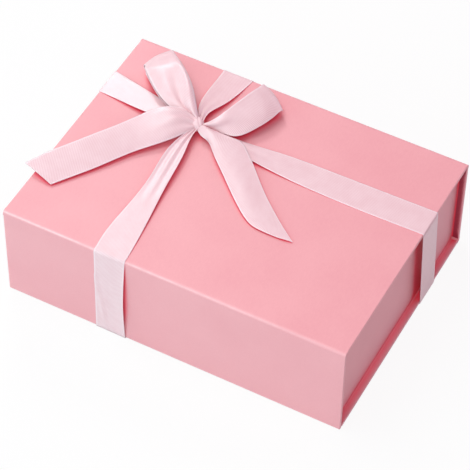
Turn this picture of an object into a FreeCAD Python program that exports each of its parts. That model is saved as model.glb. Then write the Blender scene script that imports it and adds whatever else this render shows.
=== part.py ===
import FreeCAD
import Part
import Sketcher
import math
import os
import re

# A rigid book-style gift box tied with a ribbon, in millimetres.
# +X runs along the long front, +Y from the front to the back, +Z up.
# The box stands on the ribbon that passes under it, at Z = 0.

SIZES = {
    # cover, outside
    "box_length": 230.0,
    "box_width": 171.0,
    "box_height": 71.5,
    # board and paper
    "board": 2.0,
    "paper": 0.2,
    "turn_in": 14.0,
    "hinge_gap": 1.1,
    # tray
    "tray_board": 2.0,
    "tray_inset": 4.5,
    "flap_clear": 0.5,
    "rim_clear": 0.4,
    "foot_clear": 0.15,
    "stay_leg": 15.0,
    "stay_thick": 0.15,
    # magnetic closure
    "magnet_bore": 12.2,
    "magnet_clear": 0.1,
    "magnet_thick": 1.2,
    "keeper_thick": 1.0,
    "magnet_pitch": 150.0,
    "magnet_level": 40.0,
    # ribbon, placed from the box's left end and front edge
    "ribbon_width": 20.5,
    "ribbon_thick": 0.3,
    "ribbon_clear": 0.15,
    "front_from_left": 73.5,
    "back_from_left": 70.1,
    "left_from_front": 125.5,
    "right_from_front": 114.7,
    "right_lean": 6.8,
    # knot
    "knot_from_left": 72.0,
    "knot_from_front": 116.5,
    "knot_length": 14.0,
    "knot_width": 12.0,
    "knot_height": 6.5,
    "knot_round": 2.0,
    "strand_neck": 10.0,
    # bow
    "bow_clear": 0.3,
    "tail_overhang": 5.0,
    "back_loop_heading": 145.0,
    "back_loop_end_turn": 14.0,
    "back_loop_reach": 58.0,
    "back_loop_rise": 13.0,
    "right_loop_heading": 52.5,
    "right_loop_end_turn": 0.0,
    "right_loop_reach": 46.0,
    "right_loop_rise": 9.0,
    "loop_sag": 2.0,
    "loop_high": 5.0,
    "loop_low": 2.0,
    "loop_neck": 9.0,
    "loop_width": 23.0,
}

# Lengths and levels worked out from the sizes.
DERIVED = {
    "panel": "board + 2 * paper",
    "half_length": "box_length / 2",
    "front": "-box_width / 2",
    "back": "box_width / 2",
    "lid_top": "ribbon_thick + box_height",
    "lid_under": "lid_top - panel",
    "base_top": "ribbon_thick + panel",
    "front_axis": "front + panel",
    "back_axis": "back - panel",
    "flap_foot": "ribbon_thick + foot_clear",
    "flap_head": "lid_under - hinge_gap",
    "tray_end": "half_length - tray_inset",
    "tray_front": "front_axis + flap_clear",
    "tray_rim": "lid_under - rim_clear",
    "wall_top": "tray_rim - paper",
    "wall_end": "tray_end - paper - stay_thick",
    "wall_front": "tray_front + paper + stay_thick",
    "wall_back": "back_axis - paper - stay_thick",
    "inner_end": "wall_end - tray_board",
    "inner_front": "wall_front + tray_board",
    "inner_back": "wall_back - tray_board",
    "floor_top": "base_top + tray_board",
    "run_end": "half_length + ribbon_clear",
    "half_ribbon": "ribbon_width / 2",
    "front_x": "front_from_left - half_length",
    "back_x": "back_from_left - half_length",
    "crossing_x": "front_x + (back_x - front_x) * left_from_front / box_width",
    "left_y": "front + left_from_front",
    "right_y": "front + right_from_front",
    "right_foot_y": "right_y + right_lean",
    "knot_x": "knot_from_left - half_length",
    "knot_y": "front + knot_from_front",
    "strand_top": "lid_top + ribbon_thick",
    "frame_shift": "(tail_overhang - ribbon_clear - ribbon_thick) / 2",
}

AXES = "xyz"
EDGES = ("Length", "Width", "Height")
PLANE_AXES = {"XY_Plane": "xyz", "XZ_Plane": "xzy", "YZ_Plane": "yzx"}
LOOP_STEPS = 16
LOOP_FLARE = 0.6
LOOP_NUDGE = 1e-4

# The tails' two edges, from the knot outwards. A point is given out along X from the knot's end face,
# along Y from the knot's middle, and up from the lid.
# The left tail's back edge ends beyond the box's left end, by tail_overhang.
LEFT_TAIL_FRONT = [
    (0.5, -5.5, 3.0),
    (4.7, -19.3, 3.0),
    (19.4, -36.3, 1.2),
    (34.5, -60.7, 0.9),
    (50.6, -84.4, 0.9),
]
LEFT_TAIL_BACK = [
    (1.5, -0.5, 5.0),
    (16.5, -3.5, 11.0),
    (36.0, -25.0, 7.0),
    (53.0, -48.5, 5.0),
]
LEFT_TAIL_TIP = (-78.8, 4.5)
FRONT_TAIL_LEFT = [
    (0.5, -5.0, 3.0),
    (8.0, -13.5, 2.6),
    (19.0, -23.8, 2.0),
    (46.1, -48.0, 1.2),
    (56.3, -54.3, 1.0),
]
FRONT_TAIL_RIGHT = [
    (0.5, 2.0, 5.0),
    (21.7, -0.5, 4.0),
    (32.9, -9.1, 2.5),
    (58.2, -33.9, 1.2),
    (85.5, -55.2, 1.0),
]

doc = FreeCAD.newDocument("gift_box")
sheet = doc.addObject("Spreadsheet::Sheet", "sizes")
for row, (alias, size) in enumerate(SIZES.items(), start=1):
    sheet.set(f"A{row}", alias)
    sheet.set(f"B{row}", str(size))
    sheet.setAlias(f"B{row}", alias)
doc.recompute()

nodes = []


def bound(text):
    """The text as an expression on the sheet's cells."""

    def swap(match):
        word = match.group()
        if word in SIZES:
            return "sizes." + word
        return "(" + bound(DERIVED[word]) + ")"

    return re.sub(r"[a-z_]+", swap, text)


def value(text):
    """The text's number, from the sheet."""
    return float(sheet.evalExpression(bound(text)))


def place(thing, x, y, z):
    """Bind where an object stands; the frame's origin is midway along the whole outline."""
    for axis, low in zip(AXES, (f"{x} + frame_shift", y, z)):
        thing.setExpression("Placement.Base." + axis, bound(low))


def keep(thing, label):
    """Name a finished piece."""
    thing.Label = label
    nodes.append(thing)
    return thing


def both(level):
    """A pair of levels, the same either side of the middle."""
    return f"-({level})", level


def around(centre, half):
    """A pair of levels either side of a centre."""
    return f"{centre} - {half}", f"{centre} + {half}"


def block(name, x, y, z):
    """A box between three pairs of levels."""
    thing = doc.addObject("Part::Box", name)
    for edge, (low, high) in zip(EDGES, (x, y, z)):
        thing.setExpression(edge, bound(f"({high}) - ({low})"))
    place(thing, x[0], y[0], z[0])
    return thing


def cut(name, base, *tools):
    """The base less each tool in turn."""
    for count, tool in enumerate(tools):
        step = doc.addObject("Part::Cut", f"{name}_cut_{count}")
        step.Base = base
        step.Tool = tool
        base = step
    return base


def fuse(name, pieces):
    """One solid from several that touch."""
    thing = doc.addObject("Part::MultiFuse", name)
    thing.Shapes = pieces
    return thing


def gather(name, pieces):
    """One node of several separate solids."""
    thing = doc.addObject("Part::Compound", name)
    thing.Links = pieces
    return keep(thing, name)


def outline(body, plane, name):
    """An empty sketch on one of the body's own planes."""
    sketch = body.newObject("Sketcher::SketchObject", name)
    support = next(f for f in body.Origin.OriginFeatures if f.Role == plane)
    sketch.AttachmentSupport = [(support, "")]
    sketch.MapMode = "FlatFace"
    return sketch


def pin_point(sketch, geometry, point, x, y):
    """Bind a sketch point's two distances from the sketch's origin."""
    for kind, text in (("DistanceX", x), ("DistanceY", y)):
        index = sketch.addConstraint(Sketcher.Constraint(kind, -1, 1, geometry, point, value(text)))
        sketch.setExpression(f"Constraints[{index}]", bound(text))


def rectangle(x, y):
    """The corners of a rectangle between two pairs of levels."""
    return [(x[0], y[0]), (x[1], y[0]), (x[1], y[1]), (x[0], y[1])]


def plate(name, plane, corners, low, high, drawn_high=False):
    """A flat piece: a polygon drawn on a plane and padded between two levels across it."""
    body = doc.addObject("PartDesign::Body", name)
    sketch = outline(body, plane, name + "_outline")
    points = [FreeCAD.Vector(value(x), value(y), 0) for x, y in corners]
    count = len(points)
    for k in range(count):
        sketch.addGeometry(Part.LineSegment(points[k], points[(k + 1) % count]))
    for k in range(count):
        sketch.addConstraint(Sketcher.Constraint("Coincident", k, 2, (k + 1) % count, 1))
    for k, (x, y) in enumerate(corners):
        pin_point(sketch, k, 1, x, y)
    pad = body.newObject("PartDesign::Pad", name + "_pad")
    pad.Profile = sketch
    # a sketch on XZ faces the front, so its pad is turned to grow towards the back
    pad.Reversed = (plane == "XZ_Plane") != drawn_high
    pad.setExpression("Length", bound(f"({high}) - ({low})"))
    levels = dict(zip(PLANE_AXES[plane], ("0", "0", high if drawn_high else low)))
    place(body, *(levels[axis] for axis in AXES))
    return body


def sink_bores(body, depth):
    """Two round pockets for the closure's discs, sunk from the face the wall was drawn on."""
    doc.recompute()
    pad = body.Tip
    solid_volume = body.Shape.Volume
    sketch = outline(body, "XZ_Plane", body.Name + "_bores")
    for index, x in enumerate(both("magnet_pitch / 2")):
        centre = FreeCAD.Vector(value(x), value("magnet_level"), 0)
        sketch.addGeometry(Part.Circle(centre, FreeCAD.Vector(0, 0, 1), value("magnet_bore / 2")))
        pin_point(sketch, index, 3, x, "magnet_level")
        bore = sketch.addConstraint(Sketcher.Constraint("Diameter", index, value("magnet_bore")))
        sketch.setExpression(f"Constraints[{bore}]", bound("magnet_bore"))
    pocket = body.newObject("PartDesign::Pocket", body.Name + "_pocket")
    pocket.Profile = sketch
    pocket.Reversed = not pad.Reversed
    pocket.setExpression("Length", bound(depth))
    doc.recompute()
    if body.Shape.Volume >= solid_volume:
        raise RuntimeError(body.Name + ": the pockets cut nothing")


def closure_discs(name, y, thick):
    """A pair of discs seated in their pockets, facing along Y."""
    pair = []
    for side, x in zip(("left", "right"), both("magnet_pitch / 2")):
        disc = doc.addObject("Part::Cylinder", f"{name}_{side}")
        disc.setExpression("Radius", bound("magnet_bore / 2 - magnet_clear"))
        disc.setExpression("Height", bound(thick))
        disc.Placement.Rotation = FreeCAD.Rotation(FreeCAD.Vector(1, 0, 0), -90)
        place(disc, x, y, "magnet_level")
        pair.append(disc)
    gather(name, pair)


def quarter(name, radius, x, y, z, turn):
    """A quarter cylinder along X, turned in quarters on from the lower back corner."""
    thing = doc.addObject("Part::Cylinder", name)
    thing.setExpression("Radius", bound(radius))
    thing.setExpression("Height", bound(f"({x[1]}) - ({x[0]})"))
    thing.Angle = 90
    lie_down = FreeCAD.Rotation(FreeCAD.Vector(0, 1, 0), 90)
    thing.Placement.Rotation = FreeCAD.Rotation(FreeCAD.Vector(1, 0, 0), 90 * turn).multiply(lie_down)
    place(thing, x[0], y, z)
    return thing


def fold(label, inner, thick, x, corner):
    """A strip folded round one of the cover's long edges, with a flat lip on each of its panels."""
    outer = f"{inner} + {thick}"
    y, z, turn = {
        "base_back": ("back_axis", "base_top", 0),
        "lid_back": ("back_axis", "lid_under", 1),
        "lid_front": ("front_axis", "lid_under", 2),
    }[corner]
    bend = cut(
        label,
        quarter(label + "_outer", outer, x, y, z, turn),
        quarter(label + "_inner", inner, x, y, z, turn),
    )
    upright_y, level_y = (f"{y} + {inner}", f"{y} + {outer}"), (f"{y} - hinge_gap", y)
    if corner == "lid_front":
        upright_y, level_y = (f"{y} - ({outer})", f"{y} - ({inner})"), (y, f"{y} + hinge_gap")
    upright_z, level_z = (f"{z} - hinge_gap", z), (f"{z} + {inner}", f"{z} + {outer}")
    if corner == "base_back":
        upright_z, level_z = (z, f"{z} + hinge_gap"), (f"{z} - ({outer})", f"{z} - ({inner})")
    upright = block(label + "_upright", x, upright_y, upright_z)
    level = block(label + "_level", x, level_y, level_z)
    keep(fuse(label, [bend, upright, level]), label)


def paper_panel(label, outside, core, lining):
    """A panel's lining sheet and its wrap, which covers the board and turns in round the lining."""
    inner_sheet = keep(block(label + "_lining", *lining), label + "_lining")
    wrap = cut(label + "_wrap", block(label + "_outside", *outside), core, inner_sheet)
    keep(wrap, label + "_wrap")


def make_cover():
    """Lid, flap, spine and base, each a board in its papers, and the creases that join them."""
    ends = both("half_length")
    board_ends = both("half_length - paper")
    lined = both("half_length - turn_in")

    lid_y = ("front_axis + hinge_gap", "back_axis - hinge_gap")
    lid = block("lid_board", board_ends, lid_y, ("lid_under + paper", "lid_top - paper"))
    keep(lid, "lid_board")
    paper_panel(
        "lid",
        (ends, lid_y, ("lid_under", "lid_top")),
        lid,
        (lined, lid_y, ("lid_under", "lid_under + paper")),
    )

    flap_y = ("front + paper", "front_axis - paper")
    flap_z = ("flap_foot + paper", "flap_head")
    flap = plate("flap_board", "XZ_Plane", rectangle(board_ends, flap_z), *flap_y, drawn_high=True)
    sink_bores(flap, "magnet_thick")
    keep(flap, "flap_board")
    closure_discs("flap_magnets", "front_axis - paper - magnet_thick", "magnet_thick")
    paper_panel(
        "flap",
        (ends, ("front", "front_axis"), ("flap_foot", "flap_head")),
        block("flap_core", board_ends, flap_y, flap_z),
        (lined, ("front_axis - paper", "front_axis"), ("flap_foot + turn_in", "flap_head")),
    )

    spine_z = ("base_top + hinge_gap", "flap_head")
    spine = block("spine_board", board_ends, ("back_axis + paper", "back - paper"), spine_z)
    keep(spine, "spine_board")
    paper_panel(
        "spine",
        (ends, ("back_axis", "back"), spine_z),
        spine,
        (lined, ("back_axis", "back_axis + paper"), spine_z),
    )

    base_back = "back_axis - hinge_gap"
    base_z = ("ribbon_thick + paper", "base_top - paper")
    base = block("base_board", board_ends, ("tray_front + paper", base_back), base_z)
    keep(base, "base_board")
    paper_panel(
        "base",
        (ends, ("tray_front", base_back), ("ribbon_thick", "base_top")),
        base,
        (lined, ("tray_front + turn_in", base_back), ("base_top - paper", "base_top")),
    )

    creases = {"flap_crease": "lid_front", "lid_crease": "lid_back", "base_crease": "base_back"}
    for label, corner in creases.items():
        fold(label, "panel - paper", "paper", ends, corner)


def sorted_pair(first, second, first_is_low):
    """Two levels, the lower one first."""
    return (first, second) if first_is_low else (second, first)


def make_tray():
    """The tray glued to the base and the spine: floor, walls, corner stays, wrap and lining."""
    inner_x = both("inner_end")
    inner_y = ("inner_front", "inner_back")
    wall_z = ("base_top", "wall_top")
    keep(block("tray_floor", inner_x, inner_y, ("base_top", "floor_top")), "tray_floor")
    front_wall = plate(
        "tray_front_wall", "XZ_Plane", rectangle(both("wall_end"), wall_z), "wall_front", "inner_front"
    )
    sink_bores(front_wall, "keeper_thick")
    keep(front_wall, "tray_front_wall")
    closure_discs("tray_keepers", "wall_front", "keeper_thick")
    keep(block("tray_back_wall", both("wall_end"), ("inner_back", "wall_back"), wall_z), "tray_back_wall")
    keep(block("tray_left_wall", ("-wall_end", "-inner_end"), inner_y, wall_z), "tray_left_wall")
    keep(block("tray_right_wall", ("inner_end", "wall_end"), inner_y, wall_z), "tray_right_wall")

    stays = []
    for side, x in (("left", -1), ("right", 1)):
        for end, y, level in (("front", 1, "wall_front"), ("back", -1, "wall_back")):
            name = f"stay_{side}_{end}"
            leg = block(
                name + "_leg",
                sorted_pair(f"{x} * (wall_end + stay_thick)", f"{x} * (wall_end - stay_leg)", x < 0),
                sorted_pair(f"{level} - {y} * stay_thick", f"{level} + {y} * stay_leg", y > 0),
                wall_z,
            )
            hollow = block(
                name + "_hollow",
                sorted_pair(f"{x} * wall_end", f"{x} * (wall_end - 2 * stay_leg)", x < 0),
                sorted_pair(level, f"{level} + {y} * 2 * stay_leg", y > 0),
                wall_z,
            )
            stays.append(cut(name, leg, hollow))
    gather("tray_corner_stays", stays)

    skin_y = ("tray_front + paper", "back_axis - paper")
    behind_skin = block("tray_wrap_behind", both("tray_end - paper"), skin_y, wall_z)
    inside_turn = block("tray_wrap_inside", inner_x, inner_y, ("floor_top", "wall_top"))
    lined_x = both("inner_end - paper")
    lined_y = ("inner_front + paper", "inner_back - paper")
    cavity = block("tray_wrap_cavity", lined_x, lined_y, ("floor_top", "tray_rim"))
    outside_y = ("tray_front", "back_axis")
    outside = block("tray_wrap_outside", both("tray_end"), outside_y, ("base_top", "tray_rim"))
    between_skins = cut("tray_wrap_walls", behind_skin, inside_turn)
    keep(cut("tray_wrap", outside, between_skins, cavity), "tray_wrap")
    lining = block("tray_floor_lining", lined_x, lined_y, ("floor_top", "floor_top + paper"))
    keep(lining, "tray_floor_lining")


def under_edge(x, side):
    """The Y of the lengthwise under-run's edge at X: side is + for its back edge, - for its front."""
    return f"left_y + (right_foot_y - left_y) * ({x} + run_end) / (2 * run_end) {side} half_ribbon"


def make_ribbon_wraps():
    """The ribbon round the box: under the base, up its sides and over the lid to the knot."""
    under = ("0", "ribbon_thick")
    on_lid = ("lid_top", "strand_top")
    left_low, left_high = around("left_y", "half_ribbon")
    right_low, right_high = around("right_y", "half_ribbon")
    foot_low, foot_high = around("right_foot_y", "half_ribbon")
    front_x = around("front_x", "half_ribbon")
    back_x = around("back_x", "half_ribbon")
    cross_low, cross_high = around("crossing_x", "half_ribbon")

    lengthwise = [
        ("-run_end", left_low),
        ("run_end", foot_low),
        ("run_end", foot_high),
        ("-run_end", left_high),
    ]
    keep(plate("ribbon_under_lengthwise", "XY_Plane", lengthwise, *under), "ribbon_under_lengthwise")
    front_half = [
        (front_x[0], "front"),
        (front_x[1], "front"),
        (cross_high, under_edge(cross_high, "-")),
        (cross_low, under_edge(cross_low, "-")),
    ]
    back_half = [
        (cross_low, under_edge(cross_low, "+")),
        (cross_high, under_edge(cross_high, "+")),
        (back_x[1], "back"),
        (back_x[0], "back"),
    ]
    halves = {"under_front_half": front_half, "under_back_half": back_half}
    crosswise = [plate(name, "XY_Plane", corners, *under) for name, corners in halves.items()]
    gather("ribbon_under_crosswise", crosswise)

    run_z = ("0", "lid_top")
    left_run = block("ribbon_run_left", ("-run_end - ribbon_thick", "-run_end"), (left_low, left_high), run_z)
    keep(left_run, "ribbon_run_left")
    leaning = [(foot_low, "0"), (foot_high, "0"), (right_high, "lid_top"), (right_low, "lid_top")]
    right_run = plate("ribbon_run_right", "YZ_Plane", leaning, "run_end", "run_end + ribbon_thick")
    keep(right_run, "ribbon_run_right")
    hung_z = ("0", "flap_head")
    keep(block("ribbon_run_front", front_x, ("front - ribbon_thick", "front"), hung_z), "ribbon_run_front")
    keep(block("ribbon_run_back", back_x, ("back", "back + ribbon_thick"), hung_z), "ribbon_run_back")
    fold("ribbon_fold_front", "panel", "ribbon_thick", front_x, "lid_front")
    fold("ribbon_fold_back", "panel", "ribbon_thick", back_x, "lid_back")

    neck_x = around("knot_x", "strand_neck / 2")
    neck_y = around("knot_y", "strand_neck / 2")
    knot_sides = around("knot_x", "knot_length / 2")
    knot_ends = around("knot_y", "knot_width / 2")
    lid_front, lid_back = "front_axis + hinge_gap", "back_axis - hinge_gap"
    left_tip, right_tip = both("run_end + ribbon_thick")
    # each strand's corners: two at the lid's edge, then two at the knot's face
    left_edge = [(left_tip, left_high), (left_tip, left_low)]
    right_edge = [(right_tip, right_low), (right_tip, right_high)]
    strands = {
        "left": left_edge + [(knot_sides[0], y) for y in neck_y],
        "right": right_edge + [(knot_sides[1], y) for y in neck_y[::-1]],
        "front": [(x, lid_front) for x in front_x] + [(x, knot_ends[0]) for x in neck_x[::-1]],
        "back": [(x, lid_back) for x in back_x[::-1]] + [(x, knot_ends[1]) for x in neck_x],
    }
    for side, corners in strands.items():
        label = "ribbon_strand_" + side
        keep(plate(label, "XY_Plane", corners, *on_lid), label)


def make_knot():
    """The knot, a small pad with every edge rounded but those it stands on."""
    corners = rectangle(around("knot_x", "knot_length / 2"), around("knot_y", "knot_width / 2"))
    body = plate("bow_knot", "XY_Plane", corners, "lid_top", "lid_top + knot_height")
    doc.recompute()
    pad = body.Tip
    half_height = pad.Shape.BoundBox.Center.z
    edges = enumerate(pad.Shape.Edges, start=1)
    raised = [f"Edge{number}" for number, edge in edges if edge.BoundBox.ZMax > half_height]
    rounding = body.newObject("PartDesign::Fillet", "bow_knot_round")
    rounding.Base = (pad, raised)
    rounding.setExpression("Radius", bound("knot_round"))
    keep(body, "bow_knot")


def ribbon_solid(label, sections):
    """A thin solid through four-cornered sections, each ruled straight to the next."""
    wires = [Part.makePolygon(corners + corners[:1]) for corners in sections]
    piece = doc.addObject("Part::Feature", label)
    piece.Shape = Part.makeLoft(wires, True, True)
    piece.Placement.Base = FreeCAD.Vector(value("frame_shift"), 0, 0)
    keep(piece, label)


def make_tail(label, one_edge, other_edge):
    """A tail between its two edges, each a list of points."""
    up = FreeCAD.Vector(0, 0, value("ribbon_thick"))
    sections = [[low, high, high + up, low + up] for low, high in zip(one_edge, other_edge)]
    ribbon_solid(label, sections)


def from_knot(points, side):
    """Points given out from the knot's end face: its right one where side is 1, its left one where -1."""
    face_x = value("knot_x") + side * value("knot_length / 2")
    face = FreeCAD.Vector(face_x, value("knot_y"), value("lid_top"))
    return [face + FreeCAD.Vector(side * out, along, up) for out, along, up in points]


def make_loop(label, heading, reach, rise, end_turn):
    """A loop: out of the knot on top, round its far end and back underneath."""
    knot = FreeCAD.Vector(value("knot_x"), value("knot_y"), value("lid_top"))
    along = FreeCAD.Vector(math.cos(heading), math.sin(heading), 0)
    half_knot = (value("knot_length / 2"), value("knot_width / 2"))
    start = half_knot[0] * abs(along.x) + half_knot[1] * abs(along.y) + value("bow_clear")
    high, low, sag = value("loop_high"), value("loop_low"), value("loop_sag")
    neck, width = value("loop_neck"), value("loop_width")
    half_thick = value("ribbon_thick / 2")

    def middle(share):
        swell = math.sin(2 * math.pi * share) * math.sqrt(math.sin(math.pi * share))
        level = low + (high - low) * (1 - share) + swell * (rise if share < 0.5 else sag)
        out = start + (reach - start) * math.sin(math.pi * share)
        return knot + along * out + FreeCAD.Vector(0, 0, level)

    sections = []
    for step in range(LOOP_STEPS + 1):
        share = min(max(step / LOOP_STEPS, LOOP_NUDGE), 1 - LOOP_NUDGE)
        opening = math.sin(math.pi * share)
        across_turn = heading + math.pi / 2 + end_turn * opening
        across = FreeCAD.Vector(math.cos(across_turn), math.sin(across_turn), 0)
        before, after = max(share - LOOP_NUDGE, LOOP_NUDGE / 2), min(share + LOOP_NUDGE, 1 - LOOP_NUDGE / 2)
        tangent = middle(after) - middle(before)
        normal = tangent.cross(across).normalize() * half_thick
        half = across * ((neck + (width - neck) * opening**LOOP_FLARE) / 2)
        under, over = middle(share) - normal, middle(share) + normal
        sections.append([under - half, under + half, over + half, over - half])
    ribbon_solid(label, sections)


def make_bow():
    """The bow on the lid: knot, two loops and two tails."""
    make_knot()
    for side in ("back", "right"):
        reach, rise = value(side + "_loop_reach"), value(side + "_loop_rise")
        heading, end_turn = value(side + "_loop_heading"), value(side + "_loop_end_turn")
        make_loop("bow_loop_" + side, math.radians(heading), reach, rise, math.radians(end_turn))
    tip_out = value("knot_x - knot_length / 2 + half_length + tail_overhang")
    left_back = LEFT_TAIL_BACK + [(tip_out, *LEFT_TAIL_TIP)]
    make_tail("bow_tail_left", from_knot(LEFT_TAIL_FRONT, -1), from_knot(left_back, -1))
    make_tail("bow_tail_front", from_knot(FRONT_TAIL_LEFT, 1), from_knot(FRONT_TAIL_RIGHT, 1))


def write_parts():
    """Check every object, then write each piece to its own file."""
    doc.recompute()
    failed = [thing.Label for thing in doc.Objects if {"Invalid", "Error"} & set(thing.State)]
    failed += [node.Label for node in nodes if node.Shape.isNull() or not node.Shape.isValid()]
    if failed:
        raise RuntimeError("not built: " + ", ".join(failed))
    os.makedirs("parts", exist_ok=True)
    for node in nodes:
        node.Shape.exportStep(f"parts/{node.Label}.step")
        print(f"{node.Label}: {len(node.Shape.Solids)} solid, {node.Shape.Volume:.1f} mm3")


make_cover()
make_tray()
make_ribbon_wraps()
make_bow()
write_parts()
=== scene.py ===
import math
import bpy
import numpy as np
from mathutils import Matrix, Vector


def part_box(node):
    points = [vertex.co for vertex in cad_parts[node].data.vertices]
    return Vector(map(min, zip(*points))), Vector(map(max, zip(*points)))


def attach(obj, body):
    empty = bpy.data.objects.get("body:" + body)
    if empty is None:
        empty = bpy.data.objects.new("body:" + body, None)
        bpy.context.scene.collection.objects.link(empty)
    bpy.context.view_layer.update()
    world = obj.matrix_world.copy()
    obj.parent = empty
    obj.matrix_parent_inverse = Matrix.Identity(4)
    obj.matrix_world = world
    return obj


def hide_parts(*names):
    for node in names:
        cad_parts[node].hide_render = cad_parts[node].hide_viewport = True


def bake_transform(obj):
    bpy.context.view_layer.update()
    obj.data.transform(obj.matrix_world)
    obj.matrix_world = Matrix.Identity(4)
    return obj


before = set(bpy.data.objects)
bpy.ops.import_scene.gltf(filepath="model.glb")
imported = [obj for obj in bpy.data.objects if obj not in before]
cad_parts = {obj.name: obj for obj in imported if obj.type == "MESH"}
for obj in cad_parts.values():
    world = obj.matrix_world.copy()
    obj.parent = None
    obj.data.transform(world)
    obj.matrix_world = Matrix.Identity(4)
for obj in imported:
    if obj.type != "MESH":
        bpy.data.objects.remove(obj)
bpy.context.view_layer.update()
scene = bpy.context.scene
scene.view_settings.view_transform = "Standard"
mm = 0.001
tiny = 1e-12   # keeps a division by a length from failing
touching = 0.001 * mm   # places closer than this are taken as the same
mergeDigits = 7   # decimals of a metre to which shared points agree
sharpAngle = math.radians(50)   # faces that meet more sharply keep a crisp edge

# where the CAD pieces stand, in metres
lidLow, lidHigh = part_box("lid_wrap")
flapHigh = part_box("flap_wrap")[1]
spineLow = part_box("spine_wrap")[0]
baseLow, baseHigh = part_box("base_wrap")
trayLow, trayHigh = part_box("tray_wrap")
knotLow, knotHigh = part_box("bow_knot")
sideLow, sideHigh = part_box("ribbon_under_lengthwise")
frontRunLow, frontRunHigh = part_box("ribbon_run_front")
backRunLow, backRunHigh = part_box("ribbon_run_back")
leftRunLow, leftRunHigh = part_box("ribbon_run_left")
rightRunLow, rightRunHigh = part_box("ribbon_run_right")
knotAt = np.array([(knotLow.x + knotHigh.x) / 2, (knotLow.y + knotHigh.y) / 2, lidHigh.z])
panel = lidHigh.z - lidLow.z                      # thickness of board and both papers
frontAxis = np.array([0, flapHigh.y, lidLow.z])   # the flap hinge's line
backAxis = np.array([0, spineLow.y, lidLow.z])    # the lid hinge's line
ribbonThick = frontRunHigh.y - frontRunLow.y
ribbonWidth = frontRunHigh.x - frontRunLow.x
halfThick = ribbonThick / 2
print("frame loaded", len(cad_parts), "nodes")


# camera, from which the ribbon's places are also worked out

cameraView = {
    "azimuth": 27.31, "elevation": 48.81, "roll": 1.10,      # degrees
    "distance": 1.49431, "right": -0.00115, "up": 0.01794,   # metres from the middle of the base
    "focal": 2370.9, "photoSide": 470,                       # pixels
}


def cameraAxes(view):
    # right, up and back as rows, turned by the three angles, and the camera's place
    az, el, roll = (math.radians(view[angle]) for angle in ("azimuth", "elevation", "roll"))
    back = np.array([math.sin(az) * math.cos(el), -math.cos(az) * math.cos(el), math.sin(el)])
    level = np.array([math.cos(az), math.sin(az), 0])
    upright = np.cross(back, level)
    right = level * math.cos(roll) + upright * math.sin(roll)
    up = upright * math.cos(roll) - level * math.sin(roll)
    axes = np.array([right, up, back])
    middle = np.array([(lidLow.x + lidHigh.x) / 2, 0, baseLow.z])
    return axes, middle + np.array([view["right"], view["up"], view["distance"]]) @ axes


# surfaces

# places across a ribbon's grid, from edge to edge; its rows follow each other along the ribbon
acrossRibbon = np.concatenate([[0, 0.02, 0.045], np.linspace(0.08, 0.92, 23), [0.955, 0.98, 1]])


def splineAt(points, marks, at):
    # natural cubic spline: a*p[k] + b*p[k+1] + ((a^3-a)*m[k] + (b^3-b)*m[k+1])*h^2/6, a and b falling and
    # rising from mark k to k+1; the bends m solve the three-term rows and are nought at both ends
    count = len(points)
    gaps = np.diff(marks)
    inner = np.arange(1, count - 1)
    rows = np.eye(count)
    rows[inner, inner - 1] = gaps[:-1]
    rows[inner, inner] = 2 * (gaps[:-1] + gaps[1:])
    rows[inner, inner + 1] = gaps[1:]
    known = np.zeros_like(points)
    known[1:-1] = 6 * np.diff(np.diff(points, axis=0) / gaps[:, None], axis=0)
    bends = np.linalg.solve(rows, known)
    k = np.clip(np.searchsorted(marks, at, side="right") - 1, 0, count - 2)
    a = ((marks[k + 1] - at) / gaps[k])[:, None]
    b = 1 - a
    curl = ((a**3 - a) * bends[k] + (b**3 - b) * bends[k + 1]) * (gaps[k] ** 2)[:, None] / 6
    return a * points[k] + b * points[k + 1] + curl


def runLengths(points):
    # straight distances from point to point, added up from the first
    return np.concatenate([[0], np.cumsum(np.linalg.norm(np.diff(points, axis=0), axis=1))])


def smoothLine(points, count):
    # one spline through the points, marked by the straight distances between them
    marks = runLengths(points)
    return splineAt(points, marks, np.linspace(0, marks[-1], count))


def loftLines(lines, rows, lineMarks):
    # lines run along the ribbon, station by station; each gets a spline along, then a spline goes across them
    lines = np.array(lines)
    count, stations = lines.shape[:2]
    steps = np.linalg.norm(np.diff(lines, axis=1), axis=2).mean(0)
    marks = np.concatenate([[0], np.cumsum(steps)])
    byStation = lines.transpose(1, 0, 2).reshape(stations, -1)
    along = splineAt(byStation, marks, np.linspace(0, marks[-1], rows))
    byLine = along.reshape(rows, count, 3).transpose(1, 0, 2).reshape(count, -1)
    over = splineAt(byLine, np.array(lineMarks), acrossRibbon)
    return over.reshape(len(acrossRibbon), rows, 3).transpose(1, 0, 2)


def betweenEdges(left, right):
    # left * (1 - s) + right * s in each row, s being the place across
    s = acrossRibbon[None, :, None]
    return left[:, None] * (1 - s) + right[:, None] * s


def fromKnot(points):
    # millimetres from the knot's middle on the lid
    return np.asarray(points, float) * mm + knotAt


def fromPhoto(points):
    # a point is x and y on the photo and a height over the lid in millimetres; its place is where the sight
    # line right * (x - half) / focal - up * (y - half) / focal - back from the camera comes to that height
    axes, at = cameraAxes(cameraView)
    points = np.asarray(points, float)
    aside = (points[:, :2] - cameraView["photoSide"] / 2) / cameraView["focal"]
    sight = aside[:, :1] * axes[0] - aside[:, 1:] * axes[1] - axes[2]
    reach = (lidHigh.z + points[:, 2] * mm - at[2]) / sight[:, 2]
    return at + sight * reach[:, None]


def placed(line):
    # a line's first point is tied in at the knot, in millimetres from it; the others are points on the photo
    return np.concatenate([fromKnot(line[:1]), fromPhoto(line[1:])])


def gridNormals(grid):
    # cross product of the slopes along and across
    normal = np.cross(np.gradient(grid, axis=0), np.gradient(grid, axis=1))
    return normal / np.maximum(np.linalg.norm(normal, axis=2, keepdims=True), tiny)


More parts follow.
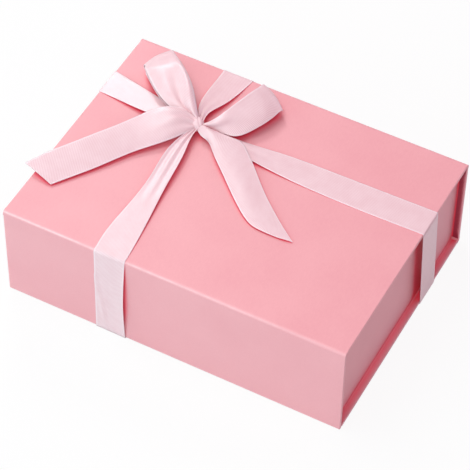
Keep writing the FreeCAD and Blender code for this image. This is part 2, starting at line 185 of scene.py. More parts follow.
def pleated(grid, sizes):
    # the grid pushed along its normals by depth * fade * cos(2 pi pleats s + phase), where s is the place
    # across and fade falls from 1 at the knot as 1 - t^2 (3 - 2t) to 0 at a share of the rows
    t = np.clip(np.linspace(0, 1, len(grid)) / sizes["pleatFade"], 0, 1)
    fade = 1 - t * t * (3 - 2 * t)
    wave = np.cos(2 * np.pi * sizes["pleats"] * acrossRibbon + sizes["pleatPhase"])
    fold = sizes["pleatDepth"] * mm * fade[:, None] * wave
    return grid + gridNormals(grid) * fold[..., None]


def flatUv(grid):
    # u is the place across the ribbon's own width, v the length run along its middle, both in metres
    run = runLengths(grid[:, grid.shape[1] // 2])
    u = np.broadcast_to(acrossRibbon * ribbonWidth, grid.shape[:2])
    v = np.broadcast_to(run[:, None], grid.shape[:2])
    return np.stack([u, v], -1), run[-1]


def gridFaces(grid, closed=False):
    # quads between neighbouring rows and columns; closed joins the last column to the first
    rows, columns = grid.shape[:2]
    index = np.arange(rows * columns).reshape(rows, columns)
    if closed:
        index = np.concatenate([index, index[:, :1]], axis=1)
    corners = [index[:-1, :-1], index[:-1, 1:], index[1:, 1:], index[1:, :-1]]
    return np.stack(corners, -1).reshape(-1, 4)


def meshFrom(name, verts, faces, material, uv=None):
    mesh = bpy.data.meshes.new(name)
    mesh.from_pydata(verts.reshape(-1, 3).tolist(), [], faces.tolist())
    if uv is not None:
        corners = np.zeros(len(mesh.loops), np.int32)
        mesh.loops.foreach_get("vertex_index", corners)
        places = uv.reshape(-1, 2)[corners].astype(np.float32)
        mesh.uv_layers.new(name="flat").data.foreach_set("uv", places.ravel())
    mesh.materials.append(material)
    mesh.polygons.foreach_set("use_smooth", np.ones(len(mesh.polygons), bool))
    mesh.update()
    piece = bpy.data.objects.new(name, mesh)
    scene.collection.objects.link(piece)
    return piece


def setAttribute(piece, name, values):
    # one value for each point, such as how pale the paper is painted for wear and a painted highlight, and
    # how strongly painted shade reddens it in crevices and recesses
    layer = piece.data.attributes.new(name, "FLOAT", "POINT")
    layer.data.foreach_set("value", np.asarray(values, np.float32).ravel())


def thicken(piece, thickness, offset=0):
    shell = piece.modifiers.new("thickness", "SOLIDIFY")
    shell.thickness = thickness
    shell.offset = offset
    return piece


def ribbonPiece(name, grid, nodes, lookUp=True):
    # the faces are turned to look up, or left as the grid gives them on a length that goes round underneath
    uv, length = flatUv(grid)
    faces = gridFaces(grid)
    if lookUp and gridNormals(grid)[..., 2].mean() > 0:
        faces = faces[:, ::-1]
    piece = thicken(meshFrom(name, grid, faces, satinRibbon, uv), ribbonThick)
    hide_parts(*nodes)
    return piece


# materials

waveLength = {"DIAGONAL": 0.628, "Y": 0.314}   # metres along an axis between a wave's crests at scale 1
noiseRange = (0.3, 0.7)   # levels that a noise mostly stays between


def newMaterial(name, **sockets):
    material = bpy.data.materials.new(name)
    material.use_nodes = True
    shader = material.node_tree.nodes["Principled BSDF"]
    for socket, level in sockets.items():
        shader.inputs[socket.replace("_", " ")].default_value = level
    return material, material.node_tree, shader


def addNode(tree, kind, inputs=None, **settings):
    node = tree.nodes.new("ShaderNode" + kind)
    for key, setting in settings.items():
        setattr(node, key, setting)
    for socket, source in (inputs or {}).items():
        if isinstance(source, bpy.types.NodeSocket):
            tree.links.new(source, node.inputs[socket])
        else:
            node.inputs[socket].default_value = source
    return node


def mixColours(tree, share, *colours):
    # the two colours are written values or the outputs of other nodes
    first, second = (c if isinstance(c, bpy.types.NodeSocket) else (*c, 1) for c in colours)
    return addNode(tree, "Mix", {0: share, 6: first, 7: second}, data_type="RGBA").outputs[2]


def spread(tree, source, low, high, toLow=0, toHigh=1):
    limits = {"Value": source, "From Min": low, "From Max": high, "To Min": toLow, "To Max": toHigh}
    return addNode(tree, "MapRange", limits).outputs[0]


def reckon(tree, operation, *sources, clamped=False):
    inputs = dict(enumerate(sources))
    return addNode(tree, "Math", inputs, operation=operation, use_clamp=clamped).outputs[0]


def noiseOn(tree, place, scale, detail, roughness=0.5):
    inputs = {"Vector": place, "Scale": scale, "Detail": detail, "Roughness": roughness}
    return addNode(tree, "TexNoise", inputs).outputs[0]


def wavesOn(tree, place, spacing, direction, **inputs):
    inputs = {"Vector": place, "Scale": waveLength[direction] / spacing, **inputs}
    return addNode(tree, "TexWave", inputs, bands_direction=direction).outputs[1]


def raiseBy(tree, shader, height, strength, distance):
    bump = addNode(tree, "Bump", {"Height": height, "Strength": strength, "Distance": distance})
    tree.links.new(bump.outputs[0], shader.inputs["Normal"])


paperLook = {
    "pink": (0.84, 0.395, 0.42),
    "deep": (0.80, 0.35, 0.38),
    # pale is painted on worn edges and as a highlight along the flap crease; crevice and recess are painted
    # shade, deep reds standing in for the shade and red bounce light in crevices and recesses
    "pale": (1.0, 0.74, 0.74),
    "crevice": (0.98, 0.08, 0.14),
    "recess": (0.34, 0.025, 0.06),
    "contrast": (0.7, 1.3),   # levels of both noises together, from deep to pink
    "patchContrast": (0.35, 0.65, 0.55, 1),   # levels of the patches' noise, and what they leave of the pale wear and painted highlight
    "creviceReach": 0.008,   # metres within which a neighbour brings painted shade to the paper
    "creviceOpen": (0.3, 0.85),   # shares of open surroundings between which that ends
    "recessFrom": (1.7, 3.7),   # levels of the painted shade attribute between which the crevice red turns to the darker recess red
    "fibres": 1500,   # noise scales: fine, slow, and for the rubbed patches
    "clouds": 26,
    "patches": 240,
    "grainStretch": 0.3,
    "grain": 0.00004,   # metres
    "grainStrength": 0.5,
    "roughness": (0.45, 0.57),
}


def makePaper(name, look, outside=True):
    # fine fibres stretched along the grain over slow clouds; on the outside, one attribute paints folds and
    # edges pale, as wear and as a highlight, and another paints shade into crevices and recesses in deep reds
    # where ambient occlusion finds neighbours
    material, tree, shader = newMaterial(name, Specular_IOR_Level=0.5, Sheen_Weight=0.06)
    place = addNode(tree, "TexCoord").outputs["Object"]
    stretched = addNode(tree, "Mapping", {"Vector": place, "Scale": (1, look["grainStretch"], 1)}).outputs[0]
    fibres = noiseOn(tree, stretched, look["fibres"], 3, 0.6)
    clouds = noiseOn(tree, place, look["clouds"], 3)
    mottled = spread(tree, reckon(tree, "ADD", fibres, clouds), *look["contrast"])
    colour = mixColours(tree, mottled, look["deep"], look["pink"])
    if outside:
        # pale edges and folds, part wear and part painted highlight, broken up by noise patches
        patches = spread(tree, noiseOn(tree, place, look["patches"], 4, 0.65), *look["patchContrast"])
        wearAndHighlight = addNode(tree, "Attribute", attribute_name="wearAndHighlight").outputs["Fac"]
        colour = mixColours(tree, reckon(tree, "MULTIPLY", wearAndHighlight, patches), colour, look["pale"])
        # painted shade: deep red where ambient occlusion finds close neighbours, turning to a darker red in
        # recesses
        reach = {"Distance": look["creviceReach"]}
        openShare = addNode(tree, "AmbientOcclusion", reach, samples=12).outputs["AO"]
        paintedShade = addNode(tree, "Attribute", attribute_name="paintedShade").outputs["Fac"]
        shadeShare = reckon(tree, "MULTIPLY", spread(tree, openShare, *look["creviceOpen"], 1, 0), paintedShade)
        shadeColour = mixColours(tree, spread(tree, paintedShade, *look["recessFrom"]), look["crevice"], look["recess"])
        colour = mixColours(tree, shadeShare, colour, shadeColour)
    tree.links.new(colour, shader.inputs["Base Color"])
    tree.links.new(spread(tree, fibres, *noiseRange, *look["roughness"]), shader.inputs["Roughness"])
    raiseBy(tree, shader, fibres, look["grainStrength"], look["grain"])
    return material


ribbonLook = {
    "satin": (0.75, 0.475, 0.505),
    "bright": (0.87, 0.66, 0.685),
    "selvedge": (0.86, 0.67, 0.70),
    "contrast": (0.3, 1.6),   # levels of twill and mottle together, from satin to bright
    "selvedgeWidth": 0.0009,   # metres, as are the next four
    "selvedgeBlur": 0.0002,
    "twill": 0.0012,   # along the edge, from one twill line to the next
    "threads": 0.000225,   # from thread to thread in the selvedge
    "relief": 0.00004,
    "reliefStrength": 0.38,
    "mottle": 110,   # noise scale
    "roughness": (0.31, 0.39),
}


def makeRibbon(name, look):
    # twill lines run slantwise over u and v; a lighter band follows each woven edge, with short cross threads
    gloss = {"Specular_IOR_Level": 0.7, "Anisotropic": 0.6, "Sheen_Weight": 0.06, "Sheen_Roughness": 0.35}
    material, tree, shader = newMaterial(name, **gloss)
    along = addNode(tree, "Tangent", direction_type="UV_MAP", uv_map="flat").outputs[0]
    tree.links.new(along, shader.inputs["Tangent"])
    flat = addNode(tree, "UVMap", uv_map="flat").outputs[0]
    u = addNode(tree, "SeparateXYZ", {0: flat}).outputs[0]
    fromMiddle = reckon(tree, "ABSOLUTE", reckon(tree, "SUBTRACT", u, ribbonWidth / 2))
    inner = ribbonWidth / 2 - look["selvedgeWidth"]
    edge = spread(tree, fromMiddle, inner - look["selvedgeBlur"], inner + look["selvedgeBlur"])
    twill = wavesOn(tree, flat, look["twill"], "DIAGONAL", Distortion=0.6, Detail=1)
    threads = wavesOn(tree, flat, look["threads"], "Y", Distortion=0.3)
    mottle = noiseOn(tree, flat, look["mottle"], 3)
    lines = spread(tree, reckon(tree, "ADD", twill, mottle), *look["contrast"])
    colour = mixColours(tree, lines, look["satin"], look["bright"])
    colour = mixColours(tree, edge, colour, look["selvedge"])
    tree.links.new(colour, shader.inputs["Base Color"])
    tree.links.new(spread(tree, mottle, *noiseRange, *look["roughness"]), shader.inputs["Roughness"])
    weave = addNode(tree, "Mix", {0: edge, 2: twill, 3: threads}, data_type="FLOAT").outputs[0]
    raiseBy(tree, shader, weave, look["reliefStrength"], look["relief"])
    return material


plainLook = {"contrast": (0.35, 0.65), "relief": 0.00005, "reliefStrength": 0.4}   # relief in metres


def makePlain(name, first, second, scale, roughness, **sockets):
    # two close colours under one noise, for what the papers hide
    material, tree, shader = newMaterial(name, Roughness=roughness, **sockets)
    place = addNode(tree, "TexCoord").outputs["Object"]
    grain = noiseOn(tree, place, scale, 5, 0.6)
    colour = mixColours(tree, spread(tree, grain, *plainLook["contrast"]), first, second)
    tree.links.new(colour, shader.inputs["Base Color"])
    raiseBy(tree, shader, grain, plainLook["reliefStrength"], plainLook["relief"])
    return material


liningLook = dict(paperLook, pink=(0.86, 0.34, 0.375), deep=(0.82, 0.305, 0.345), roughness=(0.53, 0.65))
coverPaper = makePaper("coverPaper", paperLook)
liningPaper = makePaper("liningPaper", liningLook, outside=False)
satinRibbon = makeRibbon("satinRibbon", ribbonLook)
greyBoard = makePlain("greyBoard", (0.36, 0.34, 0.31), (0.47, 0.45, 0.42), 900, 0.85)
kraftTape = makePlain("kraftTape", (0.40, 0.27, 0.15), (0.50, 0.35, 0.21), 1200, 0.7)
platedSteel = makePlain("platedSteel", (0.58, 0.58, 0.60), (0.66, 0.66, 0.68), 1500, 0.35, Metallic=1.0)

# finish of a CAD node by the last word of its name
finishes = {
    "wrap": coverPaper, "crease": coverPaper, "lining": liningPaper, "board": greyBoard, "wall": greyBoard,
    "floor": greyBoard, "stays": kraftTape, "magnets": platedSteel, "keepers": platedSteel,
}
for node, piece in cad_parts.items():
    finish = finishes.get(node.split("_")[-1])
    if finish:
        piece.data.materials.clear()
        piece.data.materials.append(finish)
print("materials made")


# papered panels, creases and tray

panelSizes = {
    "edge": 0.5 * mm,   # radius of the outer edges
    "rounding": (0, 0.15, 0.4, 0.7, 1),   # grid lines in that rounding, as shares of it
    "margin": (0.8, 1.6, 2.6, 4.5),   # grid lines beside it, in millimetres
    "evenFrom": 8 * mm,   # then even lines, this far from the ends and about pitch apart
    "pitch": 9 * mm,
    "recess": 0.26 * mm,   # how deep the lining is let in, with a step as wide as lap
    "lap": 0.02 * mm,
    # pale edges, part wear and part painted highlight, fading out over the margin after it
    "wearAndHighlight": 0.15,
    "wearAndHighlightMargin": 0.7 * mm,
    "raised": 1.2,   # painted shade on the outside, growing from nought near the floor
    "raisedFrom": 10 * mm,
    "raisedOver": 15 * mm,
}


def panelLines(low, high, insetLow, insetHigh, stops):
    # places of a grid's lines along one side: close in the rounding and the margin, then evenly on
    rounding = np.array(panelSizes["rounding"])
    start = panelSizes["evenFrom"]
    parts = [low + rounding * insetLow, high - rounding * insetHigh]
    if high - low > 2 * start:
        margin = np.array(panelSizes["margin"]) * mm
        even = np.linspace(low + start, high - start, int((high - low) / panelSizes["pitch"]))
        parts += [low + insetLow + margin, high - insetHigh - margin, even, np.clip(stops, low, high)]
    return np.unique(np.round(np.concatenate(parts), mergeDigits))


def boxShell(lines):
    # the six faces of a box as grids on the given lines, joined where they share points
    verts, faces, start = [], [], 0
    for axis, (a, b) in enumerate(((1, 2), (2, 0), (0, 1))):
        first, second = np.meshgrid(lines[a], lines[b], indexing="ij")
        for end in (0, -1):
            side = np.empty(first.shape + (3,))
            side[..., a] = first
            side[..., b] = second
            side[..., axis] = lines[axis][end]
            quads = gridFaces(first) + start
            faces.append(quads if end == 0 else quads[:, ::-1])
            verts.append(side.reshape(-1, 3))
            start += first.size
    joined, index = np.unique(np.round(np.concatenate(verts), mergeDigits), axis=0, return_inverse=True)
    return joined, index.reshape(-1)[np.concatenate(faces)]


def makePanel(name, node, body, square, inside, paintedShade):
    # a box with rounded edges: nearest place on an inner box, plus the way from there drawn in to the edge
    # radius; square lists the ends and axes that meet a crease, inside is the axis and end where the lining
    # is let in, and the last argument is the level of painted shade on the inside beyond the tray
    low, high = (np.array(corner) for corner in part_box(node))
    lining = np.array([list(corner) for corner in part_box(node.replace("wrap", "lining"))])
    insets = np.full((2, 3), panelSizes["edge"])
    for end, axis in square:
        insets[end, axis] = 0
    lap = np.array([-panelSizes["lap"], 0, 0, panelSizes["lap"]])
    stops = np.repeat(lining, 2, axis=0) + lap[:, None]
    flat, faces = boxShell([panelLines(low[k], high[k], *insets[:, k], stops[:, k]) for k in range(3)])
    core = np.clip(flat, low + insets[0], high - insets[1])
    away = flat - core
    reach = np.maximum(np.linalg.norm(away, axis=1, keepdims=True), tiny)
    verts = core + away * np.abs(away).max(1, keepdims=True) / reach
    thin, end = inside
    sides = [k for k in range(3) if k != thin]
    inner = np.abs(flat[:, thin] - (low, high)[end][thin]) < touching
    held = (flat > lining[0] - touching) & (flat < lining[1] + touching)
    verts[inner & held[:, sides].all(1), thin] += panelSizes["recess"] * (1 - 2 * end)
    piece = meshFrom(name, verts, faces, coverPaper)
    piece.data.set_sharp_from_angle(angle=sharpAngle)
    # an edge that meets a crease gets no pale wear or painted highlight, so it counts as a metre away
    gaps = np.stack([flat - low, high - flat])[:, :, sides]
    gaps[insets[:, None, sides].repeat(len(flat), 1) == 0] = 1
    wearAndHighlight = np.clip(1 - gaps.min((0, 2)) / panelSizes["wearAndHighlightMargin"], 0, 1)
    setAttribute(piece, "wearAndHighlight", panelSizes["wearAndHighlight"] * wearAndHighlight * ~inner)
    # painted shade: full on the inner faces beyond the tray ends, and on the outside growing with height
    # above the floor
    beyond = (flat[:, 0] < trayLow.x) | (flat[:, 0] > trayHigh.x)
    height = (flat[:, 2] - panelSizes["raisedFrom"]) / panelSizes["raisedOver"]
    raised = panelSizes["raised"] * np.clip(height, 0, 1)
    setAttribute(piece, "paintedShade", np.where(inner, paintedShade * beyond, raised))
    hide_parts(node)
    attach(piece, body)


makePanel("lidCover", "lid_wrap", "lid", [(0, 1), (1, 1)], (2, 0), 5.0)
makePanel("flapCover", "flap_wrap", "flap", [(1, 2)], (1, 1), 5.0)
makePanel("spineCover", "spine_wrap", "box", [(0, 2), (1, 2)], (1, 0), 5.0)
makePanel("baseCover", "base_wrap", "box", [(1, 1)], (2, 1), 1.2)

creaseSizes = {
    "lining": 0.4 * mm,                      # thickness of the lining strip
    "lip": lidLow.y - flapHigh.y,            # flat stretch beside each panel
    "lipRows": 4, "rows": 24, "columns": 100,
    "wearAndHighlight": (0.75, 0.15),                  # pale band, part wear and part painted highlight, at the left end and at the right
    "wearAndHighlightAt": 0.8, "wearAndHighlightSpread": 0.28,   # radians round the turn, where the painted highlight lies
}


def outward(verts, faces):
    # the faces turned over if the sum of v0 . (v1 x v2) over both halves of each quad is negative
    a, b, c, d = (verts[faces[:, k]] for k in range(4))
    volume = (a * np.cross(b, c)).sum() + (a * np.cross(c, d)).sum()
    return faces if volume > 0 else faces[:, ::-1]


def carryAlong(profile):
    # a profile of y and z carried along x from end to end of the lid
    grid = np.empty((creaseSizes["columns"], len(profile), 3))
    grid[..., 0] = np.linspace(lidLow.x, lidHigh.x, creaseSizes["columns"])[:, None]
    grid[..., 1:] = profile
    return grid


def makeCrease(name, node, axis, side, up, bodies):
    # outside: along one lip, a quarter circle about the hinge line, and along the other lip; inside: a curve
    # from lip to lip drawn towards the hinge line, (1-t)^2 p + 2t(1-t) q + t^2 r; both ends closed
    lip = creaseSizes["lip"]
    turn = np.linspace(0, np.pi / 2, creaseSizes["rows"])
    flat = np.linspace(lip, 0, creaseSizes["lipRows"], endpoint=False)
    y = np.concatenate([-flat, panel * np.sin(turn), np.full_like(flat, panel)])
    z = np.concatenate([np.full_like(flat, panel), panel * np.cos(turn), -flat[::-1]])
    count = len(y)
    t = np.linspace(0, 1, count)[:, None]
    half = creaseSizes["lining"] / 2
    p, q, r = np.array([(-lip, half), (half, half), (half, -lip)])
    inside = ((1 - t) ** 2 * p + 2 * t * (1 - t) * q + t**2 * r) * (side, up) + axis[1:]
    outside = np.stack([y, z], 1) * (side, up) + axis[1:]
    grid = carryAlong(np.concatenate([outside, inside[::-1]]))
    step = np.arange(count - 1)
    cap = np.stack([step, step + 1, 2 * count - 2 - step, 2 * count - 1 - step], 1)
    lastRow = (len(grid) - 1) * 2 * count
    faces = np.concatenate([gridFaces(grid, closed=True), cap, cap[:, ::-1] + lastRow])
    verts = grid.reshape(-1, 3)
    shell = meshFrom(name, verts, outward(verts, faces), coverPaper)
    shell.data.set_sharp_from_angle(angle=sharpAngle)
    # only the outside of an upper crease gets the pale band of wear and painted highlight, and painted shade
    angle = np.concatenate([-flat / panel, turn, np.pi / 2 + flat[::-1] / panel])
    wearAndHighlightBand = np.exp(-(((angle - creaseSizes["wearAndHighlightAt"]) / creaseSizes["wearAndHighlightSpread"]) ** 2)) * (up > 0)
    along = np.linspace(*creaseSizes["wearAndHighlight"], len(grid))[:, None]
    setAttribute(shell, "wearAndHighlight", np.concatenate([wearAndHighlightBand, np.zeros(count)]) * along)
    setAttribute(shell, "paintedShade", np.broadcast_to(np.repeat([up > 0, False], count), grid.shape[:2]))
    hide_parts(node)
    if len(bodies) == 1:
        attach(shell, *bodies)
        return
    liningGrid = carryAlong(inside)
    liningFaces = gridFaces(liningGrid)
    if side > 0:
        liningFaces = liningFaces[:, ::-1]
    lining = thicken(meshFrom(name + "Lining", liningGrid, liningFaces, liningPaper), creaseSizes["lining"])
    lidTop = (0, axis[1] - side * lip, axis[2] + panel)
    hungTop = (0, axis[1] + side * panel, axis[2] - lip)
    lidInner = (0, axis[1] - side * lip, axis[2])
    hungInner = (0, axis[1], axis[2] - lip)
    for piece, ends in ((shell, (lidTop, hungTop)), (lining, (lidInner, hungInner))):
        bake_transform(piece)


makeCrease("flapCrease", "flap_crease", frontAxis, -1, 1, ("lid", "flap"))
makeCrease("lidCrease", "lid_crease", backAxis, 1, 1, ("box", "lid"))
makeCrease("baseCrease", "base_crease", np.array([0, spineLow.y, baseHigh.z]), 1, -1, ("box",))

traySizes = {
    "corner": 0.9 * mm,   # radius of the corners outside, and inside
    "inner": 0.2 * mm,
    "rim": 0.7 * mm,   # radius along the rim
    "straight": 6 * mm,   # how far below the top the wall has one more row
    "steps": 7,
    "paintedShade": 1.8,   # painted shade on the two ends
    "wearAndHighlight": 0.3,   # pale rim, part wear and part painted highlight, short of both faces of the wall by the next length
    "wearAndHighlightShort": 0.1 * mm,
}


def makeTray(sizes):
    # a closed wall profile of inset and height, carried round a rectangle whose corners are rounded by what
    # the corner radius leaves at each inset
    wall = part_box("tray_floor_lining")[0].x - trayLow.x
    top = trayHigh.z
    steps = sizes["steps"]
    bend = np.linspace(0, np.pi / 2, steps)
    early = sizes["rim"] * (1 - np.cos(bend))
    late = sizes["rim"] * (1 - np.sin(bend))
    side = [trayLow.z, top - sizes["straight"]]
    inset = np.concatenate([[0, 0], early, wall - late, [wall, wall]])[:, None]
    height = np.concatenate([side, top - late, top - early, side[::-1]])[:, None]
    turn = (np.linspace(0, 1, steps) + np.arange(4)[:, None]).ravel() * np.pi / 2
    quarter = np.repeat(np.arange(4), steps)
    corner = np.maximum(sizes["corner"] - inset, sizes["inner"])
    within = inset + corner
    x = np.where(np.isin(quarter, (0, 3)), trayHigh.x - within, trayLow.x + within) + corner * np.cos(turn)
    y = np.where(np.isin(quarter, (0, 1)), trayHigh.y - within, trayLow.y + within) + corner * np.sin(turn)
    grid = np.stack([x, y, np.broadcast_to(height, x.shape)], -1)
    piece = meshFrom("trayPaper", grid, gridFaces(grid, closed=True)[:, ::-1], coverPaper)
    piece.data.set_sharp_from_angle(angle=sharpAngle)
    # painted shade on the outer faces of the two ends
    setAttribute(piece, "paintedShade", sizes["paintedShade"] * np.cos(turn) ** 2 * (inset < wall / 2))
    onRim = np.abs(inset - wall / 2) < wall / 2 - sizes["wearAndHighlightShort"]
    setAttribute(piece, "wearAndHighlight", np.broadcast_to(sizes["wearAndHighlight"] * onRim, x.shape))
    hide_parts("tray_wrap")
    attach(piece, "box")


makeTray(traySizes)
print("covers, creases and tray papered")


# ribbon round the box

# edges are lines for placed; other lengths without mm are in millimetres
frontRibbonSizes = {
    "left": [
        (-2.1, -2.5, 4.5), (184.7, 133.8, 4.5), (170, 146.3, 4.0), (150, 176.3, 3.0), (125, 207.8, 1.8),
        (99.5, 240, 0.4),
    ],
    "right": [
        (0.6, -2.0, 4.5), (195.4, 132.1, 4.5), (184.7, 152.6, 4.0), (169, 181, 3.2), (154, 209.2, 1.8),
        (137.8, 240, 0.7),
    ],
    "outside": 0.65,         # how far the right edge lies outside the CAD run at the fold
    "drops": (-0.6, -1.1),   # how far each edge moves along x on the way down
    "rows": 70, "bendRows": 12, "runRows": 40,
    "pleats": 2.0, "pleatDepth": 0.7, "pleatFade": 0.42, "pleatPhase": 0.6,
    "lift": 2.4, "liftFrom": 0.45, "liftCurve": 1.5,
    "crease": 0.8, "creaseFrom": 0.25, "creaseSlant": 1.6 / 3, "creaseWidth": 1 / 9,
}


def hungEdge(strand, foldX, axis, side, sizes, drop):
    # one long edge of a ribbon: over the lid to foldX on its long side, a quarter circle about the hinge
    # line, and straight down, moving by drop along x; side is -1 at the front and 1 at the back
    lidEdge = (foldX, lidHigh.y if side > 0 else lidLow.y, lidHigh.z + halfThick)
    over = smoothLine(np.vstack([placed(strand), lidEdge]), sizes["rows"])
    radius = panel + halfThick
    turn = np.linspace(0, np.pi / 2, sizes["bendRows"])[1:]
    down = np.linspace(0, 1, sizes["runRows"])[1:]
    x = np.concatenate([np.full_like(turn, foldX), foldX + drop * mm * down])
    y = axis[1] + side * radius * np.concatenate([np.sin(turn), np.ones_like(down)])
    z = axis[2] + np.concatenate([radius * np.cos(turn), (halfThick - axis[2]) * down])
    return np.concatenate([over, np.stack([x, y, z], 1)])


def makeFrontRibbon(sizes):
    # straight across between two hung edges and pleated by the knot; on the flap it stands off by
    # (lift * (2s - 2from)^curve + crease) * sin(pi run), so its right edge bulges most at half height, and a
    # soft crease slants down from its left edge
    foldRight = frontRunHigh.x + sizes["outside"] * mm
    left = hungEdge(sizes["left"], frontRunLow.x, frontAxis, -1, sizes, sizes["drops"][0])
    right = hungEdge(sizes["right"], foldRight, frontAxis, -1, sizes, sizes["drops"][1])
    grid = pleated(betweenEdges(left, right), sizes)
    firstRow = len(grid) - sizes["runRows"]
    run = np.clip((np.arange(len(grid)) - firstRow) / sizes["runRows"], 0, 1)[:, None]
    lift = np.clip((acrossRibbon - sizes["liftFrom"]) * 2, 0, 1) ** sizes["liftCurve"]
    below = run - sizes["creaseFrom"]
    fromCrease = np.abs(acrossRibbon - below * sizes["creaseSlant"]) / sizes["creaseWidth"]
    crease = np.clip(1 - fromCrease, 0, 1) * (below > 0)
    grid[..., 1] -= (sizes["lift"] * lift + sizes["crease"] * crease) * np.sin(np.pi * run) * mm
    nodes = ["ribbon_strand_front", "ribbon_fold_front", "ribbon_run_front"]
    piece = ribbonPiece("frontRibbon", grid, nodes)
    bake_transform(piece)


backRibbonSizes = {
    "left": [(-2.9, 1.7, 5), (198.6, 107.7, 3.7), (205, 94.6, 2.1), (214.5, 82.3, 0.8)],
    "right": [(0.6, 1.3, 5), (207, 114.8, 4.3), (222, 105.5, 2.6), (240, 93, 0.9)],
    "rows": 44, "bendRows": 12, "runRows": 28,
    "pleats": 2.0, "pleatDepth": 0.6, "pleatFade": 0.38, "pleatPhase": 1.4,
}


def makeBackRibbon(sizes):
    # straight across between two hung edges and pleated by the knot
    left = hungEdge(sizes["left"], backRunLow.x, backAxis, 1, sizes, 0)
    right = hungEdge(sizes["right"], backRunHigh.x, backAxis, 1, sizes, 0)
    grid = pleated(betweenEdges(left, right), sizes)
    nodes = ["ribbon_strand_back", "ribbon_fold_back", "ribbon_run_back"]
    piece = ribbonPiece("backRibbon", grid, nodes)
    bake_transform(piece)


strandSizes = {
    "leftStrand": {
        "back": [(-3.2, 1.9, 4.5), (180.6, 110, 4.6), (161.5, 99, 3.2), (140, 85.7, 1.4)],
        "front": [(-2.3, -2.6, 4.5), (172, 119.5, 4.6), (147.2, 112.1, 3.2), (124, 102.2, 1.4)],
        "side": -1, "endFront": leftRunLow.y, "node": "ribbon_strand_left", "rows": 60,
        "pleats": 2.0, "pleatDepth": 0.6, "pleatFade": 0.5, "pleatPhase": 2.4,
    },
    "rightStrand": {
        "back": [
            (2.9, 0.6, 3.5), (225.7, 134.4, 3), (244.5, 141.8, 1.9), (280, 153.1, 0.8), (330.4, 171.3, 0.3),
        ],
        "front": [(4.9, -3.0, 3.5), (228, 147, 3), (251, 160.2, 1.9), (279.8, 175.4, 0.8), (318, 193, 0.3)],
        "side": 1, "endFront": rightRunLow.y, "node": "ribbon_strand_right", "rows": 80,
        "pleats": 2.0, "pleatDepth": 0.5, "pleatFade": 0.35, "pleatPhase": 2.4,
    },
}
endBend = {"radius": 0.45 * mm, "rows": 7}


def makeStrand(name, sizes):
    # over the lid to its end, then a tight quarter turn down
    sideways = sizes["side"]
    radius = endBend["radius"]
    outside = (sideHigh.x if sideways > 0 else sideLow.x) + sideways * halfThick
    turn = np.linspace(0, np.pi / 2, endBend["rows"])[1:]
    edges = []
    for edge, endY in (("front", sizes["endFront"]), ("back", sizes["endFront"] + ribbonWidth)):
        lidEnd = (outside - sideways * radius, endY, lidHigh.z + halfThick)
        line = smoothLine(np.vstack([placed(sizes[edge]), lidEnd]), sizes["rows"])
        x = outside - sideways * radius * (1 - np.sin(turn))
        z = lidEnd[2] - radius * (1 - np.cos(turn))
        edges.append(np.concatenate([line, np.stack([x, np.full_like(x, endY), z], 1)]))
    grid = pleated(betweenEdges(*edges), sizes)
    piece = ribbonPiece(name, grid, [sizes["node"]])
    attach(piece, "lid")


sideRibbonSizes = {
    "turn": 0.4 * mm,    # radius at the lower corners
    "gap": 0.02 * mm,    # below the strands' ends
    "turnRows": 6, "runRows": 30, "underRows": 60,
}


def makeSideRibbon(sizes):
    # down the left end, under the base and up the right end, with small round turns at the two lower corners
    left = sideLow.x - halfThick
    right = sideHigh.x + halfThick
    low = halfThick
    top = lidHigh.z + halfThick - endBend["radius"] - sizes["gap"]
    radius = sizes["turn"]
    turn = np.linspace(0, np.pi / 2, sizes["turnRows"])[1:-1]
    early = radius * (1 - np.cos(turn))
    late = radius * (1 - np.sin(turn))
    down = np.linspace(top, low + radius, sizes["runRows"])
    under = np.linspace(left + radius, right - radius, sizes["underRows"])
    leftEnd = np.full_like(down, left)
    rightEnd = np.full_like(down, right)
    x = np.concatenate([leftEnd, left + early, under, right - late, rightEnd])
    z = np.concatenate([down, low + late, np.full_like(under, low), low + early, down[::-1]])
    leftMiddle = (leftRunLow.y + leftRunHigh.y) / 2
    rightTop = rightRunLow.y + ribbonWidth / 2
    rightFoot = rightRunHigh.y - ribbonWidth / 2
    along = np.clip((x - left) / (right - left), 0, 1)
    climb = np.where(x > right - radius, np.clip((z - low) / (top - low), 0, 1), 0)
    middle = leftMiddle + (rightFoot - leftMiddle) * along + (rightTop - rightFoot) * climb
    y = middle[:, None] + (acrossRibbon - 0.5) * ribbonWidth
    grid = np.stack([np.broadcast_to(x[:, None], y.shape), y, np.broadcast_to(z[:, None], y.shape)], -1)
    nodes = ["ribbon_run_left", "ribbon_under_lengthwise", "ribbon_run_right"]
    piece = ribbonPiece("sideRibbon", grid, nodes, lookUp=False)
    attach(piece, "box")


underRibbonRows = 12


def makeUnderRibbon():
    # the two crosswise lengths under the base, each from its edge to the lengthwise ribbon
    low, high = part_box("ribbon_under_crosswise")
    frontMiddle = (frontRunLow.x + frontRunHigh.x) / 2
    backMiddle = (backRunLow.x + backRunHigh.x) / 2
    lengths = {"underRibbonFront": (low.y, sideLow.y), "underRibbonBack": (sideHigh.y, high.y)}
    for name, (first, last) in lengths.items():
        y = np.linspace(first, last, underRibbonRows)[:, None]
        share = (y - low.y) / (high.y - low.y)
        x = frontMiddle * (1 - share) + backMiddle * share + (acrossRibbon - 0.5) * ribbonWidth
        grid = np.stack([x, np.broadcast_to(y, x.shape), np.full_like(x, halfThick)], -1)
        piece = ribbonPiece(name, grid, ["ribbon_under_crosswise"])
        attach(piece, "box")


makeFrontRibbon(frontRibbonSizes)
makeBackRibbon(backRibbonSizes)
for name, sizes in strandSizes.items():
    makeStrand(name, sizes)
makeSideRibbon(sideRibbonSizes)
makeUnderRibbon()
print("ribbon laid round the box")


# bow

